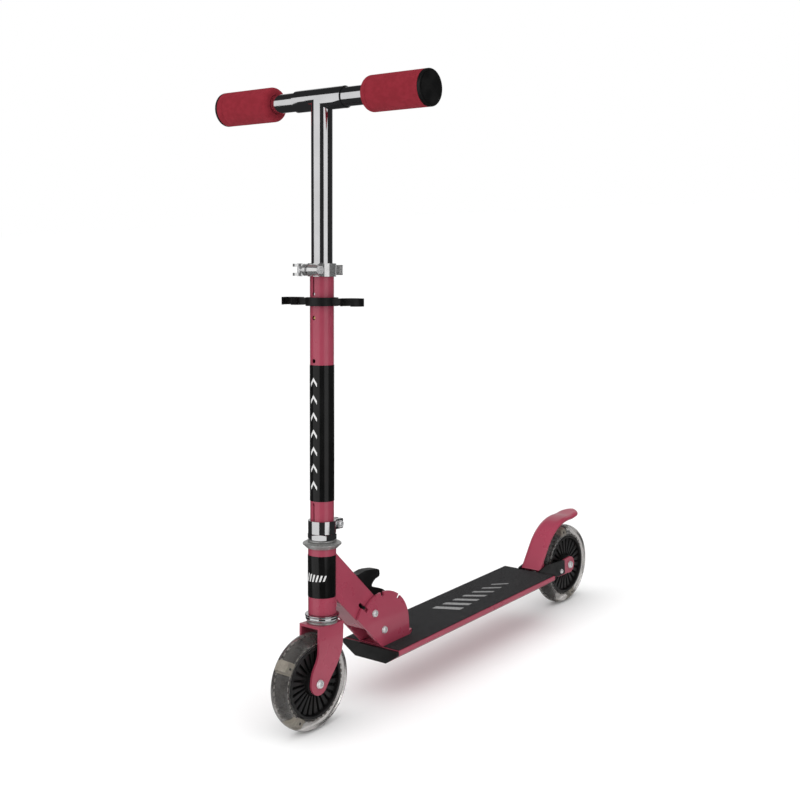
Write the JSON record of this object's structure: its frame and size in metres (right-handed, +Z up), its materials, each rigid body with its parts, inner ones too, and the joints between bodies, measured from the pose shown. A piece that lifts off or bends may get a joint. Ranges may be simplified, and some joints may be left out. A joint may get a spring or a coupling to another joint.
{
  "type": "kids folding kick scooter",
  "caption": "Child's folding kick scooter: painted deck and fork, rear fender brake, clear-tyred wheels, foam-gripped pull-out handles, telescoping stem and a lever-released fold",
  "frame": {"origin": "on the ground, in the middle plane, midway between the two axles", "axes": "+Z up; -Y towards the front wheel, +Y towards the rear; +X towards the rider's left"},
  "size_m": [0.324, 0.6812, 0.768],
  "materials": {
    "paint": "gloss raspberry red",
    "black_plastic": "satin black",
    "chrome": "polished",
    "steel": "zinc plated",
    "brass": "plain",
    "tyre": "smoky clear vinyl",
    "tape": "black grit",
    "sticker": "gloss black film",
    "foam": "dark red foam"
  },
  "bodies": {
    "deck": {"deck_shell": "paint", "grip_tape": "tape", "front_end_cap": "black_plastic", "rear_cover": "black_plastic", "fold_bracket": "paint", "bracket_screw_left": "steel", "bracket_screw_right": "steel", "pivot_bolt": "steel", "pivot_nut": "steel", "stop_bolt": "steel", "stop_nut": "steel", "rear_fork": "paint", "cover_screw_left": "steel", "cover_screw_right": "steel", "rear_axle_bolt": "steel", "rear_axle_nut": "steel", "brake_pin": "steel", "brake_spring": "steel"},
    "rear_wheel": {"rear_tyre": "tyre", "rear_hub": "black_plastic", "rear_bearing_left": "steel", "rear_bearing_right": "steel"},
    "brake": {"brake_fender": "paint"},
    "neck": {"neck_frame": "paint", "head_band": "sticker", "upper_cup": "steel", "lower_cup": "chrome", "lock_spring": "steel"},
    "lock": {"lock_slider": "black_plastic", "lock_pin": "black_plastic"},
    "steering": {"fork": "paint", "crown_race": "steel", "top_washer": "steel", "top_nut": "steel", "lower_clamp": "chrome", "lower_clamp_bolt": "steel", "lower_clamp_nut": "steel", "lower_tube": "paint", "column_sticker": "sticker", "upper_clamp": "chrome", "clamp_bolt": "steel", "clamp_nut": "steel", "handle_holder": "black_plastic", "front_axle_bolt": "steel", "front_axle_nut": "steel"},
    "front_wheel": {"front_tyre": "tyre", "front_hub": "black_plastic", "front_bearing_left": "steel", "front_bearing_right": "steel"},
    "clamp_lever": {"clamp_lever": "chrome"},
    "stem": {"stem_tee": "chrome"},
    "height_button": {"height_button": "brass"},
    "left_handle": {"left_bar": "chrome", "left_grip": "foam", "left_end_cap": "black_plastic"},
    "right_handle": {"right_bar": "chrome", "right_grip": "foam", "right_end_cap": "black_plastic"},
    "left_bar_button": {"left_bar_button": "brass"},
    "right_bar_button": {"right_bar_button": "brass"}
  },
  "joints": [
    {"name": "fold", "type": "hinge", "parent": "deck", "child": "neck", "pos_m": [0, -0.161, 0.092], "axis": [-1, 0, 0], "range_deg": [0, 84]},
    {"name": "steer", "type": "hinge", "parent": "neck", "child": "steering", "pos_m": [0, -0.25309, 0.12699], "axis": [0, 0.0809, 0.9967], "range_deg": [-130, 130]},
    {"name": "front_roll", "type": "hinge", "parent": "steering", "child": "front_wheel", "pos_m": [0, -0.2806, 0.06], "axis": [1, 0, 0], "continuous": true},
    {"name": "rear_roll", "type": "hinge", "parent": "deck", "child": "rear_wheel", "pos_m": [0, 0.2806, 0.06], "axis": [1, 0, 0], "continuous": true},
    {"name": "brake_press", "type": "hinge", "parent": "deck", "child": "brake", "pos_m": [0, 0.2095, 0.063], "axis": [-1, 0, 0], "range_deg": [0, 10], "stiffness_Nm_per_rad": 2, "springref_deg": -17.19},
    {"name": "lock_pull", "type": "slide", "parent": "neck", "child": "lock", "axis": [0, -0.6696, 0.7427], "range_m": [0, 0.006], "stiffness_N_per_m": 500, "springref_m": -0.004, "deforming": ["lock_spring"]},
    {"name": "height_slide", "type": "slide", "parent": "steering", "child": "stem", "axis": [0, 0.0809, 0.9967], "range_m": [-0.051, 0]},
    {"name": "height_button_push", "type": "slide", "parent": "stem", "child": "height_button", "axis": [0, 0.9967, -0.0809], "range_m": [0, 0.0025], "stiffness_N_per_m": 500, "springref_m": -0.001},
    {"name": "clamp_lever_open", "type": "hinge", "parent": "steering", "child": "clamp_lever", "pos_m": [-0.0152, -0.27361, 0.14], "axis": [0, 0.0809, 0.9967], "range_deg": [0, 130]},
    {"name": "left_handle_pull", "type": "slide", "parent": "stem", "child": "left_handle", "axis": [1, 0, 0], "range_m": [0, 0.033]},
    {"name": "right_handle_pull", "type": "slide", "parent": "stem", "child": "right_handle", "axis": [-1, 0, 0], "range_m": [0, 0.033]},
    {"name": "left_button_push", "type": "slide", "parent": "left_handle", "child": "left_bar_button", "axis": [0, -0.9967, 0.0809], "range_m": [0, 0.0025], "stiffness_N_per_m": 500, "springref_m": -0.001},
    {"name": "right_button_push", "type": "slide", "parent": "right_handle", "child": "right_bar_button", "axis": [0, -0.9967, 0.0809], "range_m": [0, 0.0025], "stiffness_N_per_m": 500, "springref_m": -0.001}
  ]
}
